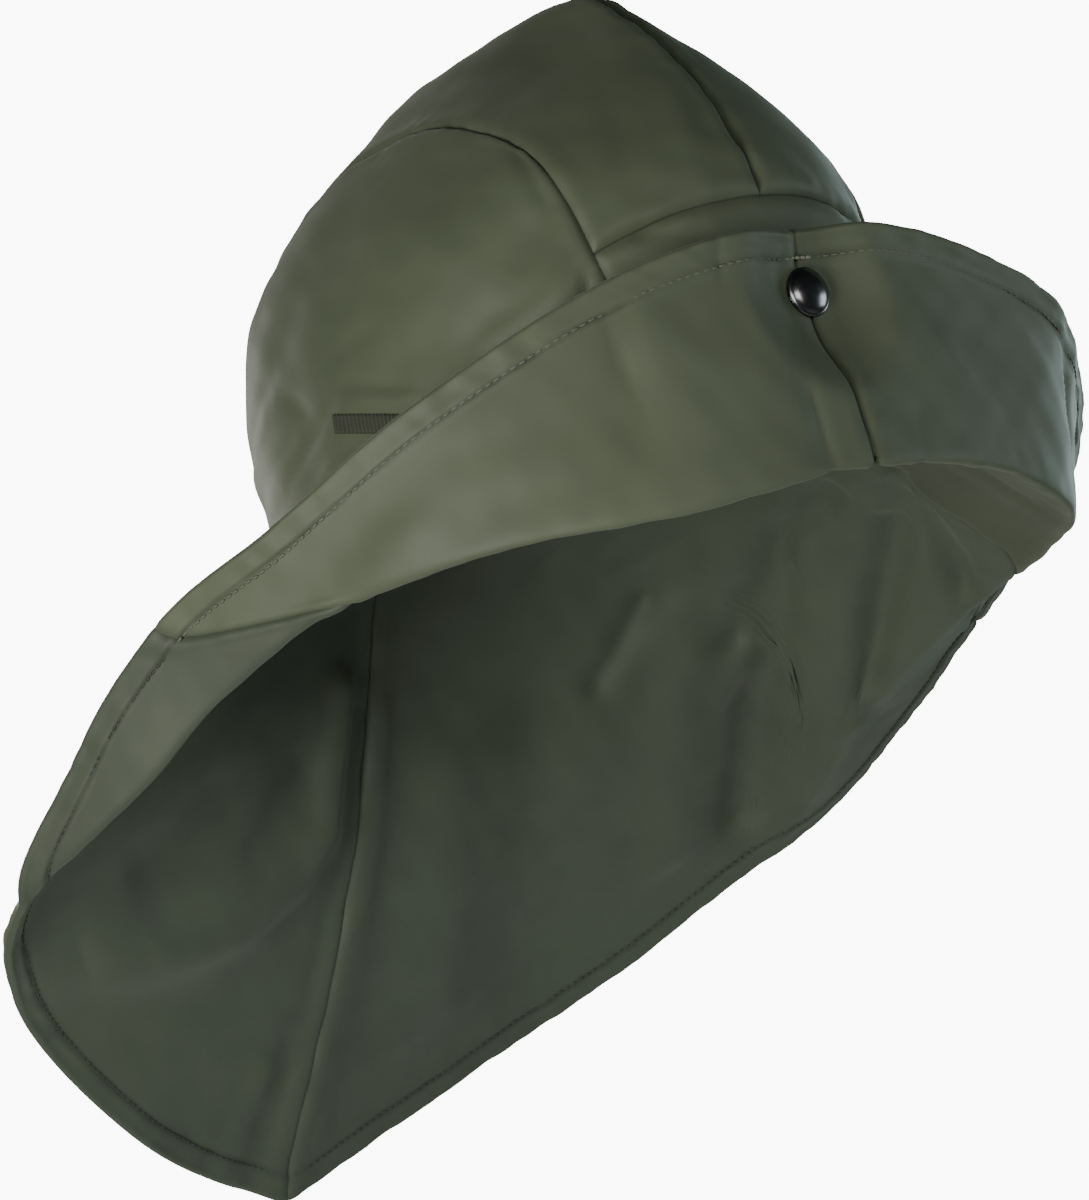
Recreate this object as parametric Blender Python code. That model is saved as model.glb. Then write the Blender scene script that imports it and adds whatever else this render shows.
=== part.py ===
import math

import bmesh
import bpy
import numpy as np

# Head opening and crown
RING_HALF_WIDTH = 0.086
RING_HALF_LENGTH = 0.101
CROWN_HEIGHT = 0.1355
CLOTH = 0.0012
SEAM_GAP = 0.0003
RING_BACK_RISE = 0.008
TOP_STRIP_SHARE = 0.52
TOP_STRIP_SPREAD = 0.19
FRONT_BAND_LIFT = 27.0

# Brim and neck flap
FLAP_OUT = 0.107
FLAP_DROP = 0.170
FRONT_RISE = 0.050
FOLD_ROUNDING = 0.007
SIDE_SEAM_TURN = 103.0
SIDE_SEAM_SLANT = 24.0
FLAP_BILLOW = 0.007
FLAP_SWAY = 0.006
FLAP_CALM = 0.012
FOLD_DEPTH = 0.006
FOLD_WIDTH = 0.006
FRONT_DIP = 0.0022
STUD_PULL = 0.0078

# Head band, elastic and press stud
BAND_HEIGHT = 0.022
BAND_DROP = 0.0015
BAND_THICKNESS = 0.0009
ELASTIC_LENGTH = 0.030
ELASTIC_HEIGHT = 0.0058
ELASTIC_THICKNESS = 0.0011
ELASTIC_RIB = 0.0003
ELASTIC_TILT = 17.0
STUD_RADIUS = 0.0072
STUD_DOME = 0.0026
STUD_SHARE = 0.82
SOCKET_RADIUS = 0.0058
POST_RADIUS = 0.0048
SOCKET_SHARE = 0.42
POST_SHARE = 0.40

# Crown sections. lift: degrees up the dome; side: share of RING_HALF_WIDTH;
# front, back: shares of RING_HALF_LENGTH; square: exponent of the rounded outline
CROWN = (
    (0, 1.00, 1.00, 1.00, 2.00),
    (11, 0.995, 0.98, 1.00, 2.10),
    (23, 0.955, 0.955, 0.93, 2.20),
    (33, 0.865, 0.925, 0.875, 2.20),
    (44, 0.70, 0.825, 0.77, 2.05),
    (56, 0.46, 0.685, 0.57, 2.00),
    (67, 0.28, 0.56, 0.36, 2.00),
    (78, 0.14, 0.48, -0.06, 2.00),
    (90, 0.00, 0.36, -0.36, 2.00),
)

# Brim and flap around the head. turn: degrees from the front centre; outs: shares of FLAP_OUT
# beyond the ring; heights: shares of FRONT_RISE above the ring, of FLAP_DROP below it
RIGHT = (
    # turn, fold out, fold height, edge out, edge height
    (0, 0.15, -0.13, 0.085, 1.00),
    (32, 0.20, -0.16, 0.15, 0.86),
    (64, 0.26, -0.165, 0.28, 0.36),
    (86, 0.30, -0.20, 0.37, -0.03),
    (103, 0.415, -0.29, 0.495, -0.125),
    (113, 0.57, -0.385, 0.62, -0.24),
    (120, 0.71, -0.445, 0.715, -0.355),
    (130, 0.90, -0.525, 0.90, -0.525),
    (140, 0.99, -0.635, 0.99, -0.635),
    (160, 0.965, -0.905, 0.965, -0.905),
    (180, 1.02, -1.065, 1.02, -1.065),
)
LEFT = (
    (0, 0.15, -0.13, 0.085, 1.00),
    (31, 0.235, -0.155, 0.20, 0.86),
    (51, 0.37, -0.215, 0.43, 0.54),
    (70, 0.46, -0.235, 0.62, 0.09),
    (88, 0.515, -0.28, 0.82, -0.13),
    (103, 0.58, -0.345, 0.935, -0.28),
    (115, 0.74, -0.43, 1.125, -0.41),
    (130, 1.15, -0.60, 1.215, -0.60),
    (140, 1.155, -0.72, 1.155, -0.72),
    (160, 1.03, -0.905, 1.03, -0.905),
    (180, 1.02, -1.065, 1.02, -1.065),
)

# Soft folds of brim and flap. turn and share of the way from ring to edge at both ends, the
# half width as a share of FOLD_WIDTH, and the depth of FOLD_DEPTH, plus being towards the head
FOLDS = (
    (-172.5, 0.20, -173, 0.42, 1.33, -0.7),
    (-173, 0.42, -163, 0.58, 1.33, -0.8),
    (-163, 0.58, -147, 0.80, 1.5, -0.8),
    (-147, 0.80, -142, 0.93, 1.5, -0.35),
    (-152, 0.45, -148, 0.62, 1.83, 0.7),
    (-174.8, 1.00, -176, 0.76, 0.67, 0.2),
    (-172.0, 1.00, -173.5, 0.80, 0.67, -0.25),
    (165, 0.40, 165, 0.80, 2, -0.5),
    (150, 0.35, 152, 0.85, 2.17, 0.5),
    (128, 0.28, 137, 0.80, 1.5, -0.7),
    (93, 0.12, 108, 0.20, 1, 0.8),
    (108, 0.20, 122, 0.38, 1, 0.9),
    (78, 0.14, 90, 0.30, 0.83, 0.8),
    (90, 0.30, 111, 0.66, 1, 1.0),
    (83, 0.28, 90, 0.58, 0.83, 0.7),
    (112, 0.30, 124, 0.56, 1, 1.0),
    (124, 0.56, 130, 0.86, 1, 0.8),
    (132, 0.22, 141, 0.34, 0.83, 0.45),
)

# Soft dips of the turned-up front: turn, share from ring to edge, half widths along and up as
# shares of FRONT_RISE, and the depth as a share of FRONT_DIP
DIPS = (
    (-37, 0.76, 0.14, 0.32, 0.7),
    (-30, 0.70, 0.16, 0.36, -0.5),
    (-9, 0.42, 0.1, 0.28, 0.5),
    (57, 0.76, 0.1, 0.4, 1.0),
    (-70, 0.60, 0.28, 0.24, -0.5),
    (22, 0.60, 0.28, 0.32, -0.6),
)


def curve(keys, values, at):
    """Smooth line through values at keys, read at one or many places."""
    keys = np.asarray(keys, float)
    values = np.asarray(values, float)
    slopes = np.gradient(values, keys)
    at = np.clip(np.asarray(at, float), keys[0], keys[-1])
    cell = np.clip(np.searchsorted(keys, at, side="right") - 1, 0, len(keys) - 2)
    wide = keys[cell + 1] - keys[cell]
    t = (at - keys[cell]) / wide
    t2 = t * t
    t3 = t2 * t
    ends = (2 * t3 - 3 * t2 + 1) * values[cell] + (3 * t2 - 2 * t3) * values[cell + 1]
    return ends + wide * ((t3 - 2 * t2 + t) * slopes[cell] + (t3 - t2) * slopes[cell + 1])


def step(low, high, at):
    t = np.clip((at - low) / (high - low), 0, 1)
    return t * t * (3 - 2 * t)


def unit(rows):
    return rows / np.maximum(np.linalg.norm(rows, axis=-1, keepdims=True), 1e-12)


def crown_at(way):
    """Point of the crown's middle surface in the direction way, a point of the unit dome."""
    lift = np.degrees(np.arcsin(np.clip(way[..., 2], 0, 1)))
    flat = np.maximum(np.hypot(way[..., 0], way[..., 1]), 1e-9)
    across = way[..., 0] / flat
    ahead = -way[..., 1] / flat
    keys = [row[0] for row in CROWN]
    side, front, back, square = (curve(keys, [row[k] for row in CROWN], lift) for k in (1, 2, 3, 4))
    bend = 2 / square
    half = (front + back) / 2 * RING_HALF_LENGTH
    x = side * RING_HALF_WIDTH * np.sign(across) * np.abs(across) ** bend
    y = (back - front) / 2 * RING_HALF_LENGTH - half * np.sign(ahead) * np.abs(ahead) ** bend
    rise = RING_BACK_RISE * (1 - ahead) / 2 * (1 - way[..., 2]) ** 2
    return np.stack([x, y, way[..., 2] * CROWN_HEIGHT + SEAM_GAP / 2 + rise], -1)


def crown_normal(way):
    first = unit(np.cross(way, np.array([0.31, 0.22, 0.93])))
    second = np.cross(way, first)
    tiny = 0.002
    low = unit(way - tiny * first), unit(way - tiny * second)
    high = unit(way + tiny * first), unit(way + tiny * second)
    out = np.cross(crown_at(high[0]) - crown_at(low[0]), crown_at(high[1]) - crown_at(low[1]))
    out = unit(out)
    out *= np.sign(np.sum(out * way, -1, keepdims=True))
    base = way[..., 2:3] < 1e-6
    level = unit(out * np.array([1.0, 1.0, 0.0]))
    return np.where(base, level, out)


def dome(share, angle):
    """Unit dome point a share of the way to the wearer's left, angle degrees over from the front."""
    turn = np.radians(angle)
    rest = np.sqrt(1 - share * share)
    return np.stack([share + 0 * turn, -rest * np.cos(turn), np.maximum(rest * np.sin(turn), 0)], -1)


def strip_edge(angle):
    """Seam between the strip over the head and the side panels, as a share of the dome's half width."""
    return TOP_STRIP_SHARE * (1 + TOP_STRIP_SPREAD * np.sin(np.radians(angle)) ** 2)


def side_seam(share):
    """Turn of the brim's side seam, which leans towards the front as it nears the head."""
    return SIDE_SEAM_TURN - SIDE_SEAM_SLANT * step(0, 0.5, 1 - np.asarray(share, float))


def outline(rows, turn):
    """Fold and edge lines of the brim: how far out and how high, at each turn."""
    rows = ((-rows[1][0],) + rows[1][1:],) + rows
    keys = [row[0] for row in rows]
    parts = []
    for out, high in ((1, 2), (3, 4)):
        heights = [row[high] * (FRONT_RISE if row[high] > 0 else FLAP_DROP) for row in rows]
        parts.append(curve(keys, [row[out] for row in rows], turn) * FLAP_OUT)
        parts.append(curve(keys, heights, turn))
    one = 1 - step(120, 140, turn)
    parts[2] = parts[0] + (parts[2] - parts[0]) * one
    parts[3] = parts[1] + (parts[3] - parts[1]) * one
    return parts


def brim_at(turn, share, plain=False):
    """Point of the brim's middle surface, share of the way from the ring over the fold to the edge."""
    turn = np.asarray(turn, float)
    right = outline(RIGHT, np.abs(turn))
    left = outline(LEFT, np.abs(turn))
    mix = step(-20, 20, turn)
    fold_out, fold_high, edge_out, edge_high = (a + (b - a) * mix for a, b in zip(right, left))
    angle = np.radians(turn)
    away = np.stack([np.sin(angle), -np.cos(angle), 0 * angle], -1)
    ring = away * np.array([RING_HALF_WIDTH, RING_HALF_LENGTH, 0.0])
    upright = np.array([0, 0, 1.0])
    ring = ring + upright * (RING_BACK_RISE * (1 - np.cos(angle)) / 2 - SEAM_GAP / 2)[..., None]
    fold = ring + away * fold_out[..., None] + upright * fold_high[..., None]
    edge = ring + away * edge_out[..., None] + upright * edge_high[..., None]
    first = np.linalg.norm(fold - ring, axis=-1)
    second = np.linalg.norm(edge - fold, axis=-1)
    total = first + second
    soft = np.maximum(np.minimum(FOLD_ROUNDING, 0.45 * second), 1e-6)
    gone = share * total
    t = np.clip((gone - first + soft) / (2 * soft), 0, 1)
    beyond = 2 * soft * (t**3 - t**4 / 2) + np.maximum(gone - first - soft, 0)
    before = gone - beyond
    first_way = unit(fold - ring)
    calm = FLAP_CALM * step(112, 134, np.abs(turn))
    second_way = unit(edge - fold + first_way * (calm + 1e-9)[..., None])
    there = first_way * before[..., None] + second_way * beyond[..., None]
    sway = FLAP_SWAY * step(135, 180, np.abs(turn)) * share**2
    place = ring + there - sway[..., None] * np.array([1.0, 0, 0])
    if plain:
        return place
    lie = np.cross(unit(fold - ring), np.stack([np.cos(angle), np.sin(angle), 0 * angle], -1))
    swell = FLAP_BILLOW * step(95, 150, np.abs(turn)) * np.sin(math.pi * np.clip(share, 0, 1)) ** 2
    return place - lie * swell[..., None]


def brim_depth(turn, share):
    """How far the soft folds and dips carry the cloth towards the head. A row of FOLDS that starts
    where the last one ended carries that fold on."""
    long = FLAP_OUT * (1.075 + 0.654 * step(90, 150, np.abs(turn)))
    broad = FLAP_OUT * 1.215
    deep = 0.0 * turn * share
    chain = deep
    end = None
    for turn_a, share_a, turn_b, share_b, wide, part in FOLDS:
        ax, ay = math.radians(turn_a) * broad, share_a * long
        bx, by = math.radians(turn_b) * broad, share_b * long
        px = np.radians((turn - turn_a + 180) % 360 - 180) * broad
        py = share * long - ay
        qx, qy = bx - ax, by - ay
        along = np.clip((px * qx + py * qy) / (qx * qx + qy * qy), 0, 1)
        off = np.hypot(px - along * qx, py - along * qy) / (wide * FOLD_WIDTH)
        fade = step(0.0, 0.22, share) * (1 - 0.4 * step(0.9, 1.0, share))
        here = FOLD_DEPTH * part * np.exp(-off * off) * fade
        if (turn_a, share_a) == end:
            chain = np.where(np.abs(here) > np.abs(chain), here, chain)
        else:
            deep = deep + chain
            chain = here
        end = (turn_b, share_b)
    deep = deep + chain
    for turn_a, share_a, wide, tall, part in DIPS:
        px = np.radians(turn - turn_a) * RING_HALF_LENGTH * 1.11 / (wide * FRONT_RISE)
        py = (share - share_a) * 1.8 / tall
        deep = deep + FRONT_DIP * part * np.exp(-px * px - py * py)
    off = np.hypot(np.radians(turn) * RING_HALF_LENGTH * 1.07, (share - STUD_SHARE) * FRONT_RISE * 1.8)
    return deep + STUD_PULL * (1 - step(1.25 * STUD_RADIUS, 4.17 * STUD_RADIUS, off))


def brim_frame(turn, share):
    """Middle surface and the direction facing away from the head's side, at turn and share."""
    turn, share = np.broadcast_arrays(np.asarray(turn, float), np.asarray(share, float))

    def moved(a, b):
        flat = brim_at(a, b)
        ds, dt = 0.004, 0.4
        up = brim_at(a, b + ds) - brim_at(a, b - ds)
        over = brim_at(a + dt, b) - brim_at(a - dt, b)
        out = unit(np.cross(up, over))
        return flat + out * brim_depth(a, b)[..., None]

    place = moved(turn, share)
    ds, dt = 0.003, 0.3
    up = moved(turn, share + ds) - moved(turn, share - ds)
    over = moved(turn + dt, share) - moved(turn - dt, share)
    facing = unit(np.cross(up, over))
    angle = np.radians(turn)
    inward = np.stack([-np.sin(angle), np.cos(angle), 0 * angle], -1)
    return place, np.where((share < 1e-6)[..., None], inward, facing)


def brim_rows(turn, count):
    """Shares from ring to edge, closer together at the fold where there is one."""
    rows = outline(RIGHT, np.abs(turn)) if turn < 0 else outline(LEFT, np.abs(turn))
    first = math.hypot(rows[0], rows[1])
    second = math.hypot(rows[2] - rows[0], rows[3] - rows[1])
    total = first + second
    soft = min(FOLD_ROUNDING, 0.45 * second)
    marks = np.array([0, (first - soft) / total, (first + soft) / total, 1.0])
    spread = np.interp(np.linspace(0, 1, count + 1), [0, 0.25, 0.62, 1], marks)
    even = np.linspace(0, 1, count + 1)
    bent = step(0.6 * FOLD_ROUNDING, 3.7 * FOLD_ROUNDING, second)
    return even + (spread - even) * bent


def cloth(name, place, facing, thick, colour, rough=0.5, metal=0.0, wrap=False, split=True):
    """A closed sheet: both faces of a grid of points, joined round the rim. Where split, its quads
    are cut along the same diagonal on both faces."""
    rows, cols = place.shape[:2]
    outer = place + facing * thick / 2
    inner = place - facing * thick / 2
    mesh = bmesh.new()
    top = [[mesh.verts.new(outer[i, j]) for j in range(cols)] for i in range(rows)]
    low = [[mesh.verts.new(inner[i, j]) for j in range(cols)] for i in range(rows)]
    reach = cols if wrap else cols - 1
    for i in range(rows - 1):
        for j in range(reach):
            k = (j + 1) % cols
            mesh.faces.new((top[i][j], top[i + 1][j], top[i + 1][k], top[i][k]))
            under = [low[i][k], low[i + 1][k], low[i + 1][j], low[i][j]]
            mesh.faces.new(under[1:] + under[:1] if split else under)
    for j in range(reach):
        k = (j + 1) % cols
        mesh.faces.new((top[0][k], low[0][k], low[0][j], top[0][j]))
        mesh.faces.new((top[-1][j], low[-1][j], low[-1][k], top[-1][k]))
    if not wrap:
        for i in range(rows - 1):
            mesh.faces.new((top[i][0], low[i][0], low[i + 1][0], top[i + 1][0]))
            mesh.faces.new((top[i + 1][-1], low[i + 1][-1], low[i][-1], top[i][-1]))
    return finish(mesh, name, colour, rough, metal, split)


def finish(mesh, name, colour, rough=0.5, metal=0.0, split=True):
    bmesh.ops.recalc_face_normals(mesh, faces=mesh.faces)
    if mesh.calc_volume(signed=True) < 0:
        bmesh.ops.reverse_faces(mesh, faces=mesh.faces)
    if split:
        bmesh.ops.triangulate(mesh, faces=mesh.faces, quad_method="FIXED")
    for face in mesh.faces:
        face.smooth = True
    data = bpy.data.meshes.new(name)
    mesh.to_mesh(data)
    mesh.free()
    item = bpy.data.objects.new(name, data)
    bpy.context.scene.collection.objects.link(item)
    material = bpy.data.materials.new(name)
    material.use_nodes = True
    shader = material.node_tree.nodes["Principled BSDF"]
    shader.inputs["Base Color"].default_value = (*colour, 1)
    shader.inputs["Roughness"].default_value = rough
    shader.inputs["Metallic"].default_value = metal
    data.materials.append(material)
    return item


def turned(name, spine, middle, axis, colour, around=28):
    """A round piece from (radius, height) pairs, from one end of its axis to the other."""
    first = unit(np.cross(axis, np.array([0.0, 0.0, 1.0])))
    second = np.cross(axis, first)
    mesh = bmesh.new()
    rings = []
    for radius, height in spine:
        if radius == 0:
            rings.append([mesh.verts.new(middle + axis * height)])
            continue
        ring = []
        for k in range(around):
            angle = 2 * math.pi * k / around
            spoke = first * math.cos(angle) + second * math.sin(angle)
            ring.append(mesh.verts.new(middle + axis * height + spoke * radius))
        rings.append(ring)
    for low, high in zip(rings, rings[1:]):
        for k in range(around):
            m = (k + 1) % around
            if len(low) == 1:
                mesh.faces.new((low[0], high[k], high[m]))
            elif len(high) == 1:
                mesh.faces.new((low[k], high[0], low[m]))
            else:
                mesh.faces.new((low[k], high[k], high[m], low[m]))
    return finish(mesh, name, colour, 0.3, 1.0)


GREEN = (0.075, 0.098, 0.058)
INSIDE = (0.040, 0.056, 0.042)
DARK = (0.012, 0.014, 0.013)
GUNMETAL = (0.10, 0.10, 0.11)


def crown_side(name, hand):
    """D-shaped side panel: the ring below, the strip's seam over the other three sides."""
    half = SEAM_GAP / 2 / RING_HALF_WIDTH
    along, high = 20, 12
    corner = 50.0
    start = math.degrees(math.asin(TOP_STRIP_SHARE + half))
    u = np.linspace(0, 1, along + 1)
    v = np.linspace(0, 1, high + 1)
    turn = np.radians(start + (180 - 2 * start) * u)
    low = np.stack([np.sin(turn), -np.cos(turn), 0 * turn], -1)
    over = corner + (180 - 2 * corner) * u
    top = dome(strip_edge(over) + half, over)
    front = dome(strip_edge(corner * v) + half, corner * v)
    back = dome(strip_edge(180 - corner * v) + half, 180 - corner * v)
    grid_u, grid_v = u[None, :, None], v[:, None, None]
    ruled = (1 - grid_v) * low[None] + grid_v * top[None]
    ruled = ruled + (1 - grid_u) * front[:, None] + grid_u * back[:, None]
    corners = (1 - grid_v) * ((1 - grid_u) * low[0] + grid_u * low[-1])
    corners = corners + grid_v * ((1 - grid_u) * top[0] + grid_u * top[-1])
    way = ruled - corners
    way[..., 2] = np.maximum(way[..., 2], 0)
    way[:, 0] = front
    way[:, -1] = back
    way[-1] = top
    way = unit(way)
    way[..., 0] *= hand
    return cloth(name, crown_at(way), crown_normal(way), CLOTH, GREEN)


def crown_top(name, hand):
    """Half of the strip over the head, from the front band to the ring at the back."""
    half = SEAM_GAP / 2 / RING_HALF_WIDTH
    begin = FRONT_BAND_LIFT + math.degrees(SEAM_GAP / 2 / RING_HALF_LENGTH)
    angle = np.linspace(begin, 180, 31)
    way = np.stack([dome(half + (strip_edge(angle) - 2 * half) * s, angle) for s in np.linspace(0, 1, 6)])
    way[..., 0] *= hand
    return cloth(name, crown_at(way), crown_normal(way), CLOTH, GREEN)


def crown_band():
    half = SEAM_GAP / 2 / RING_HALF_WIDTH
    angle = np.linspace(0, FRONT_BAND_LIFT - math.degrees(SEAM_GAP / 2 / RING_HALF_LENGTH), 6)
    way = np.stack([dome((strip_edge(angle) - half) * s, angle) for s in np.linspace(-1, 1, 11)])
    return cloth("crown_front_band", crown_at(way), crown_normal(way), CLOTH, GREEN)


def brim_panel(name, hand, front, cells, count, colour):
    """Quarter of the brim on one side: before the side seam, or the flap behind it."""
    trim = math.degrees(SEAM_GAP / 2 / RING_HALF_WIDTH)
    places = []
    facings = []
    for part in np.linspace(0, 1, cells + 1):
        def at(share):
            seam = side_seam(share)
            low, high = (0 * seam + trim, seam - trim) if front else (seam + trim, 0 * seam + 180 - trim)
            return hand * (low + (high - low) * part)
        shares = brim_rows(float(at(0.75)), count)
        place, facing = brim_frame(at(shares), shares)
        places.append(place)
        facings.append(facing)
    return cloth(name, np.array(places), np.array(facings), CLOTH, colour, split=not front)


def head_band():
    turns = np.radians(np.arange(0, 360, 8))
    lifts = (0.0, 0.0, BAND_HEIGHT / CROWN_HEIGHT / 2, BAND_HEIGHT / CROWN_HEIGHT)
    drops = (BAND_DROP, 0.0, 0.0, 0.0)
    rows = []
    faces = []
    inset = CLOTH / 2 + SEAM_GAP * 1.7 + BAND_THICKNESS / 2
    for high, drop in zip(lifts, drops):
        flat = math.sqrt(1 - high * high)
        way = np.stack([flat * np.sin(turns), -flat * np.cos(turns), 0 * turns + high], -1)
        out = unit(crown_normal(way) * np.array([1, 1, 0]))
        rows.append(crown_at(way) - out * inset - np.array([0, 0, drop]))
        faces.append(out)
    return cloth("head_band", np.array(rows), np.array(faces), BAND_THICKNESS, DARK, wrap=True)


def side_elastic():
    """Ribbed strip on the wearer's right side of the crown."""
    middle, base = -80.0, 0.153
    around = np.linspace(-0.5, 0.5, 25) * math.degrees(ELASTIC_LENGTH / RING_HALF_WIDTH)
    rows = []
    faces = []
    for part in (-0.5, -0.17, 0.17, 0.5):
        turn = np.radians(middle + around)
        fall = math.tan(math.radians(ELASTIC_TILT)) * np.radians(around) * RING_HALF_WIDTH
        high = base + (part * ELASTIC_HEIGHT - fall) / CROWN_HEIGHT
        flat = np.sqrt(1 - high * high)
        way = np.stack([flat * np.sin(turn), -flat * np.cos(turn), high], -1)
        out = crown_normal(way)
        lift = CLOTH / 2 + SEAM_GAP * 1.3 + ELASTIC_THICKNESS / 2
        rib = ELASTIC_RIB * (np.arange(25) % 2)
        rows.append(crown_at(way) + out * (lift + rib)[:, None])
        faces.append(out)
    return cloth("side_elastic", np.array(rows), np.array(faces), ELASTIC_THICKNESS, GREEN)


def press_stud():
    middle, out = brim_frame(0.0, STUD_SHARE)
    if out[1] > 0:
        out = -out
    clear = CLOTH / 2 + SEAM_GAP
    low = clear + STUD_DOME * 0.15
    cap = [(0, clear), (STUD_RADIUS * 0.5, clear), (STUD_RADIUS * 0.93, low)]
    cap += [(STUD_RADIUS, clear + STUD_DOME * 0.27), (STUD_RADIUS * 0.97, clear + STUD_DOME * 0.36), (STUD_RADIUS * 0.86, clear + STUD_DOME * 0.50)]
    cap += [(STUD_RADIUS * 0.66, clear + STUD_DOME * 0.78), (STUD_RADIUS * 0.36, clear + STUD_DOME * 0.95)]
    cap += [(0, clear + STUD_DOME)]
    turned("stud_cap", cap, middle, out, GUNMETAL)
    lift = math.asin(middle[2] / CROWN_HEIGHT)
    way = np.array([0.0, -math.cos(lift), math.sin(lift)])
    wall, wall_out = crown_at(way), crown_normal(way[None])[0]
    start, stop = middle - out * clear, wall + wall_out * clear
    room = np.linalg.norm(start - stop)
    socket = room * SOCKET_SHARE
    post = room * POST_SHARE
    slope = 0.15 * room
    turned("stud_socket", [(0, slope), (SOCKET_RADIUS, slope), (SOCKET_RADIUS, slope + socket),
                           (0, slope + socket)], start, -out, GUNMETAL)
    turned("stud_post", [(0, 0.0), (POST_RADIUS, 0.0), (POST_RADIUS, post * 0.5),
                         (POST_RADIUS * 0.55, post * 0.6), (POST_RADIUS * 0.55, post * 0.7),
                         (0, post * 0.7)], stop, wall_out, GUNMETAL)


def build():
    for item in list(bpy.data.objects):
        bpy.data.objects.remove(item, do_unlink=True)
    crown_side("crown_side_right", -1)
    crown_side("crown_side_left", 1)
    crown_top("crown_top_right", -1)
    crown_top("crown_top_left", 1)
    crown_band()
    head_band()
    brim_panel("brim_front_right", -1, True, 22, 16, GREEN)
    brim_panel("brim_front_left", 1, True, 22, 16, GREEN)
    brim_panel("neck_flap_right", -1, False, 22, 16, INSIDE)
    brim_panel("neck_flap_left", 1, False, 22, 16, INSIDE)
    side_elastic()
    press_stud()


build()
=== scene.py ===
import math

import bmesh
import bpy
import numpy as np
from mathutils import Matrix, Vector


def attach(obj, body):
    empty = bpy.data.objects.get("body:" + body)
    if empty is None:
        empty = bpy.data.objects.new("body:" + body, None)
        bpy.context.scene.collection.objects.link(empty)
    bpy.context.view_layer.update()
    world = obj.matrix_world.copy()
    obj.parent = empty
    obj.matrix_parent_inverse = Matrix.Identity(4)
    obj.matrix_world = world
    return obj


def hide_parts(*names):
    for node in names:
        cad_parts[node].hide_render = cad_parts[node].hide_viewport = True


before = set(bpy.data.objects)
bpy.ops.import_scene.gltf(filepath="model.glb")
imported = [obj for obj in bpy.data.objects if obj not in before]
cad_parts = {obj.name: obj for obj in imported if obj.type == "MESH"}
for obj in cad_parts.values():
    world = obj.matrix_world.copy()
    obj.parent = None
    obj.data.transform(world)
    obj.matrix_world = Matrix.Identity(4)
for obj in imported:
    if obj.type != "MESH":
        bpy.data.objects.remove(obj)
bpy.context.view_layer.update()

# Sizes of the hat, in metres and degrees, the same as in the part's source
RING_HALF_WIDTH = 0.086
RING_HALF_LENGTH = 0.101
CROWN_HEIGHT = 0.1355
CLOTH = 0.0012
SEAM_GAP = 0.0003
RING_BACK_RISE = 0.008
TOP_STRIP_SHARE = 0.52
TOP_STRIP_SPREAD = 0.19
FRONT_BAND_LIFT = 27.0
FLAP_OUT = 0.107
FLAP_DROP = 0.170
FRONT_RISE = 0.050
FOLD_ROUNDING = 0.007
SIDE_SEAM_TURN = 103.0
SIDE_SEAM_SLANT = 24.0
FLAP_BILLOW = 0.007
FLAP_SWAY = 0.006
FLAP_CALM = 0.012
FOLD_DEPTH = 0.006
FOLD_WIDTH = 0.006
FRONT_DIP = 0.0022
STUD_PULL = 0.0078
STUD_SHARE = 0.82
STUD_RADIUS = 0.0072
STUD_DOME = 0.0026
ELASTIC_LENGTH = 0.030
ELASTIC_HEIGHT = 0.0058
ELASTIC_THICKNESS = 0.0011
ELASTIC_TILT = 17.0
BAND_HEIGHT = 0.022
BAND_DROP = 0.0035
BAND_THICKNESS = 0.0009

# Hems and stitches
HEM_WIDTH = 0.0095
HEM_PUFF = 0.0008
HEM_BEAD = 0.0003
STITCH_LINE = HEM_WIDTH - 0.0012
STITCH_LENGTH = 0.0027
STITCH_WIDTH = 0.00042
GROOVE_DEPTH = 0.0006
GROOVE_WIDTH = 0.0007

# Seams, with a sunk line, a soft ridge beside it and small puckers
SEAM_LAP = 0.0001
SEAM_SINK = 0.0013
SEAM_REACH = 0.0016
RIDGE_HEIGHT = 0.00035
RIDGE_AWAY = 0.0042
RIDGE_WIDTH = 0.0028
PUCKER_DEPTH = 0.00030
PUCKER_LENGTH = 0.0085
PUCKER_REACH = 0.007
EDGE_ROUND = 0.0007

# Painted shade: the cloth's colour is darkened in seams, in the hem's groove, inside the fold and on the
# crown's top
SEAM_SHADE = 0.9
SEAM_SHADE_WIDTH = 0.0006
GROOVE_SHADE = 0.45
INSIDE_SHADE = 0.42
PATCH_SHADE = 0.42

# Most that folds and creases together push the cloth in or out
FOLD_MOST = 0.0070

# Tables. Lengths are shares of RING_HALF_WIDTH or RING_HALF_LENGTH in the crown, and of FLAP_OUT,
# FLAP_DROP or FRONT_RISE in the brim
CROWN = (
    # lift, side, front, back, square
    (0, 1.00, 1.00, 1.00, 2.00),
    (11, 0.995, 0.98, 1.00, 2.10),
    (23, 0.955, 0.955, 0.93, 2.20),
    (33, 0.865, 0.925, 0.875, 2.20),
    (44, 0.70, 0.825, 0.77, 2.05),
    (56, 0.46, 0.685, 0.57, 2.00),
    (67, 0.28, 0.56, 0.36, 2.00),
    (78, 0.14, 0.48, -0.06, 2.00),
    (90, 0.00, 0.36, -0.36, 2.00),
)
RIGHT = (
    # turn, fold out, fold height, edge out, edge height
    (0, 0.15, -0.13, 0.085, 1.00),
    (32, 0.20, -0.16, 0.15, 0.86),
    (64, 0.26, -0.165, 0.28, 0.36),
    (86, 0.30, -0.20, 0.37, -0.03),
    (103, 0.415, -0.29, 0.495, -0.125),
    (113, 0.57, -0.385, 0.62, -0.24),
    (120, 0.71, -0.445, 0.715, -0.355),
    (130, 0.90, -0.525, 0.90, -0.525),
    (140, 0.99, -0.635, 0.99, -0.635),
    (160, 0.965, -0.905, 0.965, -0.905),
    (180, 1.02, -1.065, 1.02, -1.065),
)
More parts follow.
